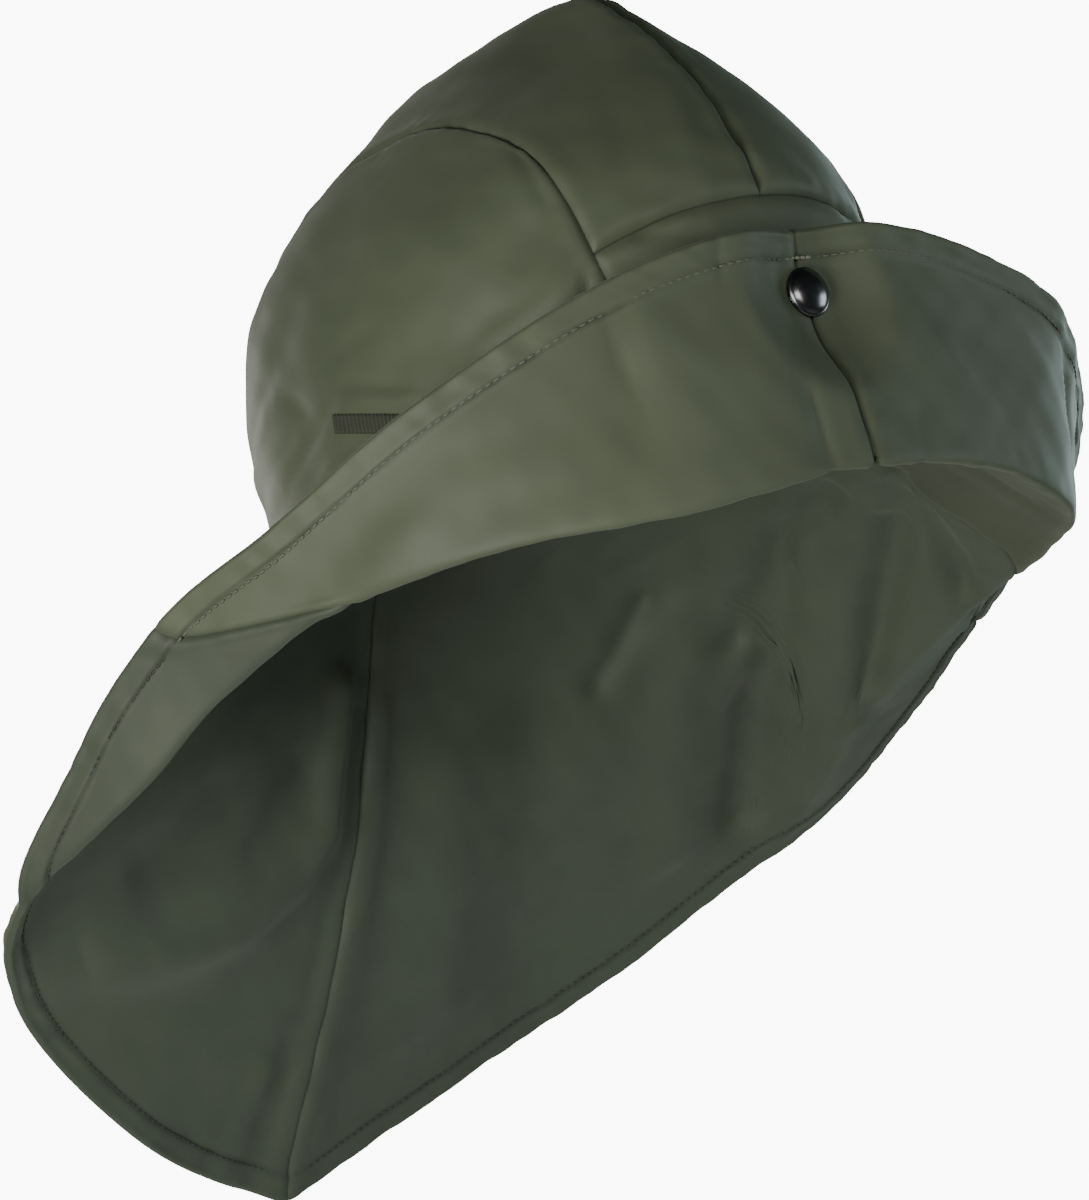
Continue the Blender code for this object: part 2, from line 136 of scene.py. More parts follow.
LEFT = (
    # turn, fold out, fold height, edge out, edge height
    (0, 0.15, -0.13, 0.085, 1.00),
    (31, 0.235, -0.155, 0.20, 0.86),
    (51, 0.37, -0.215, 0.43, 0.54),
    (70, 0.46, -0.235, 0.62, 0.09),
    (88, 0.515, -0.28, 0.82, -0.13),
    (103, 0.58, -0.345, 0.935, -0.28),
    (115, 0.74, -0.43, 1.125, -0.41),
    (130, 1.15, -0.60, 1.215, -0.60),
    (140, 1.155, -0.72, 1.155, -0.72),
    (160, 1.03, -0.905, 1.03, -0.905),
    (180, 1.02, -1.065, 1.02, -1.065),
)

# Soft folds: turn and share from ring to edge at both ends, half width as a share of FOLD_WIDTH,
# depth towards the head as a share of FOLD_DEPTH
FOLDS = (
    (-172.5, 0.20, -173, 0.42, 1.33, -0.7),
    (-173, 0.42, -163, 0.58, 1.33, -0.8),
    (-163, 0.58, -147, 0.80, 1.5, -0.8),
    (-147, 0.80, -142, 0.93, 1.5, -0.35),
    (-152, 0.45, -148, 0.62, 1.83, 0.7),
    (-174.8, 1.00, -176, 0.76, 0.67, 0.2),
    (-172.0, 1.00, -173.5, 0.80, 0.67, -0.25),
    (165, 0.40, 165, 0.80, 2, -0.5),
    (150, 0.35, 152, 0.85, 2.17, 0.5),
    (128, 0.28, 137, 0.80, 1.5, -0.7),
    (93, 0.12, 108, 0.20, 1, 0.8),
    (108, 0.20, 122, 0.38, 1, 0.9),
    (78, 0.14, 90, 0.30, 0.83, 0.8),
    (90, 0.30, 111, 0.66, 1, 1.0),
    (83, 0.28, 90, 0.58, 0.83, 0.7),
    (112, 0.30, 124, 0.56, 1, 1.0),
    (124, 0.56, 130, 0.86, 1, 0.8),
    (132, 0.22, 141, 0.34, 0.83, 0.45),
)
# Sharper creases, in the same columns as the soft folds
CREASES = (
    (93, 0.1, 108, 0.19, 0.72, 0.28),
    (108, 0.19, 121, 0.36, 0.72, 0.30),
    (90, 0.3, 99, 0.44, 0.72, 0.30),
    (99, 0.44, 111, 0.66, 0.72, 0.34),
    (111, 0.66, 114, 0.82, 0.72, 0.27),
    (83, 0.28, 92, 0.62, 0.72, 0.25),
    (92, 0.62, 97, 0.8, 0.72, 0.17),
    (112, 0.3, 124, 0.56, 0.75, 0.32),
    (124, 0.56, 130, 0.86, 0.75, 0.27),
    (131, 0.23, 141, 0.35, 0.90, 0.11),
    (128, 0.3, 135, 0.43, 1.05, 0.13),
    (104, 0.03, 127, 0.12, 0.72, 0.21),
    (127, 0.12, 138, 0.14, 0.75, 0.17),
    (112, 0.015, 132, 0.055, 0.72, 0.19),
    (96, 0.02, 101, 0.12, 0.75, 0.21),
    (130, 0.02, 137, 0.07, 0.72, 0.23),
    (144, 0.05, 150, 0.09, 0.72, 0.23),
    (116, 0.1, 123, 0.24, 1.20, -0.28),
    (101, 0.12, 110, 0.34, 1.20, -0.28),
    (105, 0.4, 118, 0.7, 1.35, -0.27),
    (119, 0.36, 130, 0.62, 1.50, -0.28),
    (86, 0.1, 98, 0.22, 1.05, -0.21),
    (-172.5, 0.2, -173, 0.4, 0.72, -0.53),
    (-173, 0.4, -170, 0.49, 0.72, -0.58),
    (-170, 0.49, -163, 0.59, 0.80, -0.58),
    (-163, 0.59, -152, 0.72, 0.94, -0.50),
    (-152, 0.72, -144, 0.88, 1.09, -0.35),
    (-167, 0.34, -161, 0.48, 1.20, 0.45),
    (-161, 0.48, -148, 0.60, 1.20, 0.35),
    (-176.5, 1.00, -177.5, 0.80, 0.30, 0.12),
    (-174, 1.00, -175, 0.76, 0.35, -0.12),
    (-168, 1.00, -170, 0.86, 0.37, -0.10),
    (-177.6, 0.24, -177.6, 0.96, 0.75, 0.25),
    (177.2, 0.24, 177.2, 0.96, 0.80, -0.25),
    (-38, 0.92, -35.5, 0.62, 0.40, 0.08),
    (-33, 0.90, -31, 0.66, 0.60, -0.06),
    (-9, 0.52, -8, 0.27, 0.40, 0.08),
    (9, 0.16, 12, 0.44, 0.60, 0.14),
    (24, 0.18, 21, 0.44, 0.70, -0.12),
    (33, 0.18, 34, 0.42, 0.60, 0.15),
    (44, 0.20, 41, 0.46, 0.70, -0.12),
    (58, 0.24, 60, 0.46, 0.80, 0.13),
    (58, 0.86, 57, 0.66, 0.27, 0.12),
    (54, 0.88, 53, 0.64, 0.27, -0.08),
    (-18.5, 1.00, -19, 0.88, 0.27, 0.12),
)
# Dips of the turned-up front: turn, share, width and height as shares of FRONT_RISE, and depth as a
# share of FRONT_DIP
DIPS = (
    (-37, 0.76, 0.14, 0.32, 0.7),
    (-30, 0.70, 0.16, 0.36, -0.5),
    (-9, 0.42, 0.1, 0.28, 0.5),
    (57, 0.76, 0.1, 0.4, 1.0),
    (-70, 0.60, 0.28, 0.24, -0.5),
    (22, 0.60, 0.28, 0.32, -0.6),
)
# Wrinkles of the crown: turn and lift at both ends, half width and depth inwards in millimetres
CROWN_WRINKLES = (
    (-37.5, 20, -39, 12, 2.6, 3.4),
    (-43, 18, -60, 14, 3.0, -0.9),
    (-90, 12.5, -70, 10.0, 1.3, -1.5),
    (-84, 55, -66, 49, 3.0, 1.2),
    (-52, 44, -44, 30, 2.6, 1.0),
    (-108, 6, -90, 13, 1.8, 1.2),
    (-104, 2, -88, 9, 1.6, -1.0),
    (-40, 24, -46, 14, 4.5, -1.2),
    (-52, 40, -46, 32, 6.0, -1.2),
    (-44, 30, -52, 22, 6.0, 1.3),
    (-87, 15.5, -74, 12.5, 1.6, 1.3),
    (-88, 13.2, -72, 10.6, 1.6, -1.3),
    (-92, 8.2, -74, 5.0, 1.8, 1.2),
    (-92, 18, -80, 21, 3.0, 0.9),
    (-96, 13.5, -104, 17, 3.0, 0.9),
    (-132, 5, -103, 11, 2.2, 1.0),
    (-126, 3.5, -92, 9.5, 2.2, -0.9),
    (-120, 2, -92, 7, 2.0, 0.9),
    (-136, 8, -112, 15, 3.0, -0.9),
    (-128, 12, -108, 20, 4.0, 0.8),
    (-54, 15, -72, 17, 8.0, 1.5),
    (-58, 26, -80, 33, 10.0, -1.5),
    (-66, 36, -84, 42, 7.0, 1.2),
    (-95, 33, -110, 20, 9.0, 1.2),
    (-88, 47, -60, 39, 6.0, 1.0),
    (-120, 34, -138, 26, 9.0, -1.2),
    (-32, 24, -14, 23, 2.6, 1.0),
    (-24, 20, -8, 21, 2.6, -0.8),
    (-30, 33, -22, 44, 6.0, 1.2),
    (-14, 33, -10, 46, 5.0, -1.0),
    (-2, 32, 4, 44, 5.0, 0.8),
    (-80, 62, -30, 52, 8.0, 1.3),
    (-20, 56, 0, 66, 8.0, -1.0),
    (5, 38, 20, 30, 6.0, 0.8),
    (120, 10, 150, 20, 9.0, 1.2),
    (75, 15, 95, 30, 10.0, 1.2),
    (160, 12, -160, 16, 9.0, 1.0),
    (-150, 30, -170, 45, 9.0, -1.0),
)
# Distances from the hemmed edge and from a sewn edge at which the cloth's grid has its close rows
HEM_FINE = (0.0002, 0.0005, 0.0009, 0.0014, 0.0020, 0.0028, 0.0040, 0.0052, 0.0064, 0.0074, 0.0079,
            0.0083, 0.0087, 0.0092, 0.0098, 0.0106, 0.0118)
SIDE_FINE = (0.0002, 0.0005, 0.0009, 0.0014, 0.0022, 0.0034)


def curve(keys, values, at):
    """Smooth line through values at keys, read at one or many places."""
    keys = np.asarray(keys, float)
    values = np.asarray(values, float)
    slopes = np.gradient(values, keys)
    at = np.clip(np.asarray(at, float), keys[0], keys[-1])
    cell = np.clip(np.searchsorted(keys, at, side="right") - 1, 0, len(keys) - 2)
    wide = keys[cell + 1] - keys[cell]
    t = (at - keys[cell]) / wide
    t2 = t * t
    t3 = t2 * t
    ends = (2 * t3 - 3 * t2 + 1) * values[cell] + (3 * t2 - 2 * t3) * values[cell + 1]
    return ends + wide * ((t3 - 2 * t2 + t) * slopes[cell] + (t3 - t2) * slopes[cell + 1])


def step(low, high, at):
    t = np.clip((at - low) / (high - low), 0, 1)
    return t * t * (3 - 2 * t)


def unit(rows):
    return rows / np.maximum(np.linalg.norm(rows, axis=-1, keepdims=True), 1e-12)


def ripple(place, size, seed):
    """Smooth, repeatable unevenness from -1 to 1 at points in space; size is its usual length."""
    rng = np.random.default_rng(seed)
    total = 0
    for _ in range(9):
        way = rng.normal(size=3)
        way /= np.linalg.norm(way)
        pace = 2 * math.pi / size * rng.uniform(0.6, 1.5)
        total = total + np.sin(place @ way * pace + rng.uniform(0, 6.28))
    return total / 4.5


# The crown, on a unit dome

def crown_at(way):
    lift = np.degrees(np.arcsin(np.clip(way[..., 2], 0, 1)))
    flat = np.maximum(np.hypot(way[..., 0], way[..., 1]), 1e-9)
    across = way[..., 0] / flat
    ahead = -way[..., 1] / flat
    keys = [row[0] for row in CROWN]
    side, front, back, square = (curve(keys, [row[k] for row in CROWN], lift) for k in (1, 2, 3, 4))
    bend = 2 / square
    half = (front + back) / 2 * RING_HALF_LENGTH
    x = side * RING_HALF_WIDTH * np.sign(across) * np.abs(across) ** bend
    y = (back - front) / 2 * RING_HALF_LENGTH - half * np.sign(ahead) * np.abs(ahead) ** bend
    rise = RING_BACK_RISE * (1 - ahead) / 2 * (1 - way[..., 2]) ** 2
    return np.stack([x, y, way[..., 2] * CROWN_HEIGHT + SEAM_GAP / 2 + rise], -1)


def crown_normal(way, tiny=0.002):
    first = unit(np.cross(way, np.array([0.31, 0.22, 0.93])))
    second = np.cross(way, first)
    low = unit(way - tiny * first), unit(way - tiny * second)
    high = unit(way + tiny * first), unit(way + tiny * second)
    out = unit(np.cross(crown_at(high[0]) - crown_at(low[0]), crown_at(high[1]) - crown_at(low[1])))
    out *= np.sign(np.sum(out * way, -1, keepdims=True))
    level = unit(out * np.array([1.0, 1.0, 0.0]))
    return np.where(way[..., 2:3] < 1e-6, level, out)


def crown_wrinkles(way):
    """Depth inwards of the wrinkles at points of the dome."""
    place = crown_at(way)
    deep = 0 * place[..., 0]
    for turn_a, lift_a, turn_b, lift_b, wide, part in CROWN_WRINKLES:
        ends = []
        for turn, lift in ((turn_a, lift_a), (turn_b, lift_b)):
            turn, lift = math.radians(turn), math.radians(lift)
            level = math.cos(lift)
            ends.append(crown_at(np.array([level * math.sin(turn), -level * math.cos(turn), math.sin(lift)])))
        run = ends[1] - ends[0]
        along = np.clip((place - ends[0]) @ run / (run @ run), 0, 1)
        off = np.linalg.norm(place - ends[0] - along[..., None] * run, axis=-1) / (wide * 0.001)
        swell = 0.35 + 0.65 * np.sin(math.pi * np.clip(along, 0.02, 0.98))
        deep = deep + 0.001 * part * np.exp(-off * off) * swell
    base = step(0.0, 0.10, way[..., 2])
    return deep * base + 0.0008 * ripple(place, 0.055, 4) * base + 0.00025 * ripple(place, 0.017, 9)


def dome(share, angle):
    turn = np.radians(angle)
    rest = np.sqrt(1 - share * share)
    return np.stack([share + 0 * turn, -rest * np.cos(turn), np.maximum(rest * np.sin(turn), 0)], -1)


def strip_edge(angle):
    return TOP_STRIP_SHARE * (1 + TOP_STRIP_SPREAD * np.sin(np.radians(angle)) ** 2)


def side_panel_way(u, v, hand):
    """Dome points of a D-shaped side panel: u from front to back, v from the ring to the strip."""
    half = -SEAM_LAP / RING_HALF_WIDTH
    corner = 50.0
    start = math.degrees(math.asin(TOP_STRIP_SHARE + half))

    def on_ring(u):
        turn = np.radians(start + (180 - 2 * start) * u)
        return np.stack([np.sin(turn), -np.cos(turn), 0 * turn], -1)

    def seam(angle):
        return dome(strip_edge(angle) + half, angle)

    low, top = on_ring(u), seam(corner + (180 - 2 * corner) * u)
    front, back = seam(corner * v), seam(180 - corner * v)
    a, b = u[..., None], v[..., None]
    ruled = (1 - b) * low + b * top + (1 - a) * front + a * back
    one = np.zeros(1)
    ends = [on_ring(one), on_ring(one + 1), seam(one + corner), seam(one + 180 - corner)]
    way = ruled - (1 - b) * ((1 - a) * ends[0] + a * ends[1]) - b * ((1 - a) * ends[2] + a * ends[3])
    way[..., 2] = np.maximum(way[..., 2], 0)
    way = unit(way)
    way[..., 0] *= hand
    return way


# The brim and flap, by turn from the front centre and share from the ring over the fold to the edge

def side_seam(share):
    return SIDE_SEAM_TURN - SIDE_SEAM_SLANT * step(0, 0.5, 1 - np.asarray(share, float))


def outline(rows, turn):
    rows = ((-rows[1][0],) + rows[1][1:],) + rows
    keys = [row[0] for row in rows]
    parts = []
    for out, high in ((1, 2), (3, 4)):
        heights = [row[high] * (FRONT_RISE if row[high] > 0 else FLAP_DROP) for row in rows]
        parts.append(curve(keys, [row[out] for row in rows], turn) * FLAP_OUT)
        parts.append(curve(keys, heights, turn))
    one = 1 - step(120, 140, turn)
    parts[2] = parts[0] + (parts[2] - parts[0]) * one
    parts[3] = parts[1] + (parts[3] - parts[1]) * one
    return parts


def brim_at(turn, share):
    right = outline(RIGHT, np.abs(turn))
    left = outline(LEFT, np.abs(turn))
    mix = step(-20, 20, turn)
    fold_out, fold_high, edge_out, edge_high = (a + (b - a) * mix for a, b in zip(right, left))
    angle = np.radians(turn)
    away = np.stack([np.sin(angle), -np.cos(angle), 0 * angle], -1)
    upright = np.array([0, 0, 1.0])
    ring = away * np.array([RING_HALF_WIDTH, RING_HALF_LENGTH, 0.0])
    ring = ring + upright * (RING_BACK_RISE * (1 - np.cos(angle)) / 2 - SEAM_GAP / 2)[..., None]
    fold = ring + away * fold_out[..., None] + upright * fold_high[..., None]
    edge = ring + away * edge_out[..., None] + upright * edge_high[..., None]
    first = np.linalg.norm(fold - ring, axis=-1)
    second = np.linalg.norm(edge - fold, axis=-1)
    soft = np.maximum(np.minimum(FOLD_ROUNDING, 0.45 * second), 1e-6)
    gone = share * (first + second)
    t = np.clip((gone - first + soft) / (2 * soft), 0, 1)
    beyond = 2 * soft * (t**3 - t**4 / 2) + np.maximum(gone - first - soft, 0)
    first_way = unit(fold - ring)
    calm = FLAP_CALM * step(112, 134, np.abs(turn))
    second_way = unit(edge - fold + first_way * (calm + 1e-9)[..., None])
    sway = FLAP_SWAY * step(135, 180, np.abs(turn)) * share**2
    place = ring + first_way * (gone - beyond)[..., None] + second_way * beyond[..., None]
    place = place - sway[..., None] * np.array([1.0, 0, 0])
    lie = np.cross(first_way, np.stack([np.cos(angle), np.sin(angle), 0 * angle], -1))
    swell = FLAP_BILLOW * step(95, 150, np.abs(turn)) * np.sin(math.pi * np.clip(share, 0, 1)) ** 2
    return place - lie * swell[..., None]


def line_depth(turn, share, rows, scale, start, taper):
    """Depth of folds that follow lines. A row that starts where the last one ended carries it on."""
    long = FLAP_OUT * (1.075 + 0.654 * step(90, 150, np.abs(turn)))
    broad = FLAP_OUT * 1.215
    deep = 0.0 * turn * share
    chain = deep
    end = None
    fade = step(0.0, start, share) * (1 - 0.4 * step(0.9, 1.0, share))
    for row, after in zip(rows, rows[1:] + rows[:1]):
        turn_a, share_a, turn_b, share_b, wide, part = row
        ax, ay = math.radians(turn_a) * broad, share_a * long
        bx, by = math.radians(turn_b) * broad, share_b * long
        px = np.radians((turn - turn_a + 180) % 360 - 180) * broad
        py = share * long - ay
        qx, qy = bx - ax, by - ay
        along = np.clip((px * qx + py * qy) / (qx * qx + qy * qy), 0, 1)
        off = np.hypot(px - along * qx, py - along * qy) / (wide * FOLD_WIDTH)
        free = 1 - taper * step(0.35, 1.0, along) * ((turn_b, share_b) != after[:2])
        here = scale * part * np.exp(-off * off) * fade * free
        if (turn_a, share_a) == end:
            chain = np.where(np.abs(here) > np.abs(chain), here, chain)
        else:
            deep = deep + chain
            chain = here
        end = (turn_b, share_b)
    return deep + chain


def brim_depth(turn, share):
    deep = line_depth(turn, share, FOLDS, FOLD_DEPTH, 0.22, 0.0)
    deep = deep + line_depth(turn, share, CREASES, FOLD_DEPTH, 0.06, 0.55)
    deep = FOLD_MOST * np.tanh(deep / FOLD_MOST)
    for turn_a, share_a, wide, tall, part in DIPS:
        px = np.radians(turn - turn_a) * RING_HALF_LENGTH * 1.11 / (wide * FRONT_RISE)
        py = (share - share_a) * 1.8 / tall
        deep = deep + FRONT_DIP * part * np.exp(-px * px - py * py)
    off = np.hypot(np.radians(turn) * RING_HALF_LENGTH * 1.07, (share - STUD_SHARE) * FRONT_RISE * 1.8)
    return deep + STUD_PULL * (1 - step(1.25 * STUD_RADIUS, 4.17 * STUD_RADIUS, off))


def brim_normal(turn, share, ds=0.004, dt=0.4):
    up = brim_at(turn, share + ds) - brim_at(turn, share - ds)
    over = brim_at(turn + dt, share) - brim_at(turn - dt, share)
    return unit(np.cross(up, over))


def brim_place(turn, share):
    """Middle surface with its folds, creases, dips and small unevenness."""
    flat = brim_at(turn, share)
    facing = brim_normal(turn, share, 0.12, 6.0)
    calm = step(0.0, 0.15, share)
    uneven = 0.0006 * ripple(flat, 0.045, 21) * calm + 0.00022 * ripple(flat, 0.014, 22) * calm
    return flat + facing * (brim_depth(turn, share) + uneven)[..., None]


def brim_facing(turn, share, ds=0.003, dt=0.3):
    """Direction towards the head, square to the surface with its folds."""
    up = brim_place(turn, share + ds) - brim_place(turn, share - ds)
    over = brim_place(turn + dt, share) - brim_place(turn - dt, share)
    return unit(np.cross(up, over))


def fold_share(turn):
    """Where the fold is, as a share of the way from the ring to the edge."""
    sides = zip(outline(RIGHT, np.abs(turn)), outline(LEFT, np.abs(turn)))
    parts = [np.where(turn < 0, right, left) for right, left in sides]
    inner = np.hypot(parts[0], parts[1])
    return inner / (inner + np.hypot(parts[2] - parts[0], parts[3] - parts[1]))


def brim_rows(turn, marks):
    """Shares from ring to edge for marks from 0 to 1, closer together at the fold."""
    rows = outline(RIGHT, np.abs(turn)) if turn < 0 else outline(LEFT, np.abs(turn))
    first = math.hypot(rows[0], rows[1])
    second = math.hypot(rows[2] - rows[0], rows[3] - rows[1])
    total = first + second
    soft = min(FOLD_ROUNDING, 0.45 * second)
    spread = np.interp(marks, [0, 0.25, 0.55, 1], [0, (first - soft) / total, (first + soft) / total, 1.0])
    return marks + (spread - marks) * step(0.6 * FOLD_ROUNDING, 3.7 * FOLD_ROUNDING, second)


# Cloth pieces

def marks(width, cells):
    """Places from 0 to 1 across a panel of this width, closer together at both sides."""
    near = [0.0] + [f / width for f in SIDE_FINE]
    middle = list(np.linspace(near[-1], 1 - near[-1], cells)[1:-1])
    return np.array(near + middle + [1 - n for n in near[::-1]])


def measure(place):
    """Distance of each point of a grid from its first and last column and its first and last row."""
    gap_i = np.linalg.norm(np.diff(place, axis=0), axis=-1)
    gap_j = np.linalg.norm(np.diff(place, axis=1), axis=-1)
    along_i = np.concatenate([np.zeros((1, place.shape[1])), np.cumsum(gap_i, 0)])
    along_j = np.concatenate([np.zeros((place.shape[0], 1)), np.cumsum(gap_j, 1)], 1)
    return along_i, along_i[-1:] - along_i, along_j, along_j[:, -1:] - along_j


def grid_normal(place, like):
    """Directions square to a grid of points, on the same side as like."""
    across = np.gradient(place, axis=0)
    along = np.gradient(place, axis=1)
    out = unit(np.cross(across, along))
    return out * np.sign(np.sum(out * like, -1, keepdims=True))


def sewn(name, middle, facing, seams, hem=None, thick=CLOTH, material=None, square=(), shade=0.0):
    """A closed piece of cloth from a grid of middle points. facing is the show side. seams names the
    sides of the grid that are sewn, and square those whose edge isn't rounded; hem is the distance
    from the hemmed edge, where there is one, and shade is painted shade that darkens the cloth's colour.
    Painted shade is also put in the seams and in the hem's stitch groove."""
    sides = dict(zip(("first", "last", "low", "high"), measure(middle)))
    edge = np.full(middle.shape[:2], 1.0)
    for side, away in sides.items():
        if side not in square:
            edge = np.minimum(edge, away)
    near = np.full(middle.shape[:2], 1.0)
    for side in seams:
        near = np.minimum(near, sides[side])
    ridge = RIDGE_HEIGHT * np.exp(-((near - RIDGE_AWAY) / RIDGE_WIDTH) ** 2)
    sink = SEAM_SINK * np.exp(-(near / SEAM_REACH) ** 2) - ridge
    pucker = PUCKER_DEPTH * ripple(middle, PUCKER_LENGTH, 31) * np.exp(-(near / PUCKER_REACH) ** 2)
    centre = middle - facing * (sink + pucker)[..., None]
    half = thick / 2 * np.sqrt(np.clip(1 - (1 - np.minimum(edge / EDGE_ROUND, 1)) ** 2, 0.03, 1))
    # Painted shade in the seams, joined with the painted shade given
    crack = np.maximum(SEAM_SHADE * np.exp(-(near / SEAM_SHADE_WIDTH) ** 2), shade)
    if hem is not None:
        puff = HEM_PUFF * step(HEM_WIDTH + 0.0004, STITCH_LINE, hem)
        puff = puff * (1 + 0.35 * ripple(middle, 0.008, 33) + 0.25 * ripple(middle, 0.019, 34))
        line = np.exp(-((hem - STITCH_LINE) / GROOVE_WIDTH) ** 2)
        bead = HEM_BEAD * np.exp(-((hem - 0.0016) / 0.0012) ** 2)
        half = half + (puff - GROOVE_DEPTH * line + bead) * np.minimum(edge / EDGE_ROUND, 1)
        # Painted shade in the hem's stitch groove
        crack = np.maximum(crack, GROOVE_SHADE * line)
    facing = grid_normal(centre, facing)
    lift = facing * half[..., None]
    return closed_grid(name, centre + lift, centre - lift, material, crack)


def closed_grid(name, top, low, material, crack):
    """Two faces of a piece on grids of points, joined round their rims. Where there are two
    materials, the second is for the face that doesn't show. The last argument is painted shade:
    where it is high, the material's colour is darkened."""
    cols, rows = top.shape[:2]
    mesh = bmesh.new()
    layer = mesh.verts.layers.float.new("crack")
    rims = []
    for face, points in ((0, top), (1, low)):
        made = bmesh.ops.create_grid(mesh, x_segments=cols - 1, y_segments=rows - 1, size=0.5)["verts"]
        patch = set()
        for vert in made:
            i = round((vert.co.x + 0.5) * (cols - 1))
            j = round((vert.co.y + 0.5) * (rows - 1))
            vert.co = points[i, j]
            vert[layer] = crack[i, j]
            patch.update(vert.link_faces)
        for one in patch:
            one.material_index = face if isinstance(material, tuple) else 0
        if face:
            bmesh.ops.reverse_faces(mesh, faces=list(patch))
        rims += [e for e in {e for f in patch for e in f.edges} if e.is_boundary]
    bmesh.ops.bridge_loops(mesh, edges=rims)
    bmesh.ops.recalc_face_normals(mesh, faces=mesh.faces)
    return finish(mesh, name, material)


def finish(mesh, name, material):
    if mesh.calc_volume(signed=True) < 0:
        bmesh.ops.reverse_faces(mesh, faces=mesh.faces)
    for face in mesh.faces:
        face.smooth = True
    data = bpy.data.meshes.new(name)
    mesh.to_mesh(data)
    mesh.free()
    for one in material if isinstance(material, tuple) else (material,):
        data.materials.append(one)
    piece = bpy.data.objects.new(name, data)
    bpy.context.scene.collection.objects.link(piece)
    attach(piece, "root")
    return piece


# Materials

class Wire:
    """A socket of a material that sums, differences, products and powers can be written with."""

    def __init__(self, tree, socket):
        self.tree = tree
        self.socket = socket

    def node(self, kind, settings=(), sockets=(), out=0):
        made = self.tree.nodes.new(kind)
        for key, value in dict(settings).items():
            if key == "stops":
                ramp = made.color_ramp.elements
                while len(ramp) < len(value):
                    ramp.new(0.5)
                for stop, (at, shade) in zip(ramp, value):
                    stop.position = at
                    stop.color = (*shade, 1) if len(shade) == 3 else shade
            else:
                setattr(made, key, value)
        for key, value in dict(sockets).items():
            socket = made.inputs[key]
            if isinstance(value, Wire):
                self.tree.links.new(value.socket, socket)
            else:
                socket.default_value = value
        return Wire(self.tree, made.outputs[out])

    def maths(self, operation, first, second=0.0):
        return self.node("ShaderNodeMath", {"operation": operation}, {0: first, 1: second})

    def __add__(self, other):
        return self.maths("ADD", self, other)

    def __radd__(self, other):
        return self.maths("ADD", other, self)

    def __sub__(self, other):
        return self.maths("SUBTRACT", self, other)

    def __rsub__(self, other):
        return self.maths("SUBTRACT", other, self)

    def __mul__(self, other):
        return self.maths("MULTIPLY", self, other)

    def __rmul__(self, other):
        return self.maths("MULTIPLY", other, self)

    def __pow__(self, other):
        return self.maths("POWER", self, other)

    def mix(self, first, second):
        """Colours first and second, mixed by this factor."""
        return self.node("ShaderNodeMix", {"data_type": "RGBA"}, {0: self, 6: first, 7: second}, 2)


def material(name):
    made = bpy.data.materials.new(name)
    made.use_nodes = True
    tree = made.node_tree
    shader = tree.nodes["Principled BSDF"]
    coords = tree.nodes.new("ShaderNodeTexCoord")
    return made, tree, shader, Wire(tree, coords.outputs["Object"])


def noise(place, scale, detail=2.0, rough=0.5):
    return place.node("ShaderNodeTexNoise", {}, {"Vector": place, "Scale": scale, "Detail": detail,
                                                 "Roughness": rough})


def coated_cloth(name, dark, light, rough):
    """Smooth coated rain cloth: soft sheen, faint grain, slow random changes of tone, and shade painted into
    the colour from a mesh attribute.
    """
    made, tree, shader, place = material(name)
    slow = noise(place, 9.0, 3.0)
    mid = noise(place, 55.0, 3.0)
    grain = noise(place, 900.0, 2.0, 0.6)
    shade = slow * 0.65 + mid * 0.35
    colour = (shade * 2.2 - 0.6).mix((*dark, 1), (*light, 1))
    # Painted shade: where the mesh's painted-shade attribute is high, the colour goes towards a near black
    crack = place.node("ShaderNodeAttribute", {"attribute_name": "crack"}, out=2)
    colour = crack.mix(colour, (*[c * 0.12 for c in dark], 1))
    tree.links.new(colour.socket, shader.inputs["Base Color"])
    gloss = rough - 0.05 + mid * 0.08 + grain * 0.05
    tree.links.new(gloss.socket, shader.inputs["Roughness"])
    height = grain * 0.35 + noise(place, 160.0, 3.0) * 0.65
    bump = place.node("ShaderNodeBump", {}, {"Height": height, "Strength": 0.10, "Distance": 0.0008})
    tree.links.new(bump.socket, shader.inputs["Normal"])
    shader.inputs["Specular IOR Level"].default_value = 0.38
    shader.inputs["Sheen Weight"].default_value = 0.15
    shader.inputs["Sheen Roughness"].default_value = 0.5
    shader.inputs["Sheen Tint"].default_value = (0.75, 0.8, 0.68, 1)
    return made


def thread(name, colour):
    made, tree, shader, place = material(name)
    strand = noise(place, 2500.0, 1.0)
    shade = strand.mix((*[c * 0.7 for c in colour], 1), (*colour, 1))
    tree.links.new(shade.socket, shader.inputs["Base Color"])
    shader.inputs["Roughness"].default_value = 0.6
    return made


def woven_band(name):
    """Black woven head band with pale flecks."""
    made, tree, shader, place = material(name)
    fleck = noise(place, 1500.0, 1.0, 0.7)
    tuft = noise(place, 500.0, 2.0, 0.6)
    mask = place.node("ShaderNodeValToRGB", {"stops": ((0.60, (0, 0, 0)), (0.68, (1, 1, 1)))}, {0: fleck})
    colour = mask.mix((0.008, 0.009, 0.009, 1), (0.10, 0.11, 0.10, 1))
    tree.links.new(colour.socket, shader.inputs["Base Color"])
    bump = place.node("ShaderNodeBump", {}, {"Height": tuft, "Strength": 0.6, "Distance": 0.0006})
    tree.links.new(bump.socket, shader.inputs["Normal"])
    shader.inputs["Roughness"].default_value = 0.8
    return made


def black_nickel(name):
    """Dark polished metal with faint brushing and rub marks."""
    made, tree, shader, place = material(name)
    rubs = noise(place, 700.0, 4.0, 0.6)
    colour = rubs.mix((0.10, 0.10, 0.105, 1), (0.20, 0.20, 0.205, 1))
    tree.links.new(colour.socket, shader.inputs["Base Color"])
    tree.links.new((0.17 + rubs * 0.10).socket, shader.inputs["Roughness"])
    shader.inputs["Metallic"].default_value = 1.0
    return made


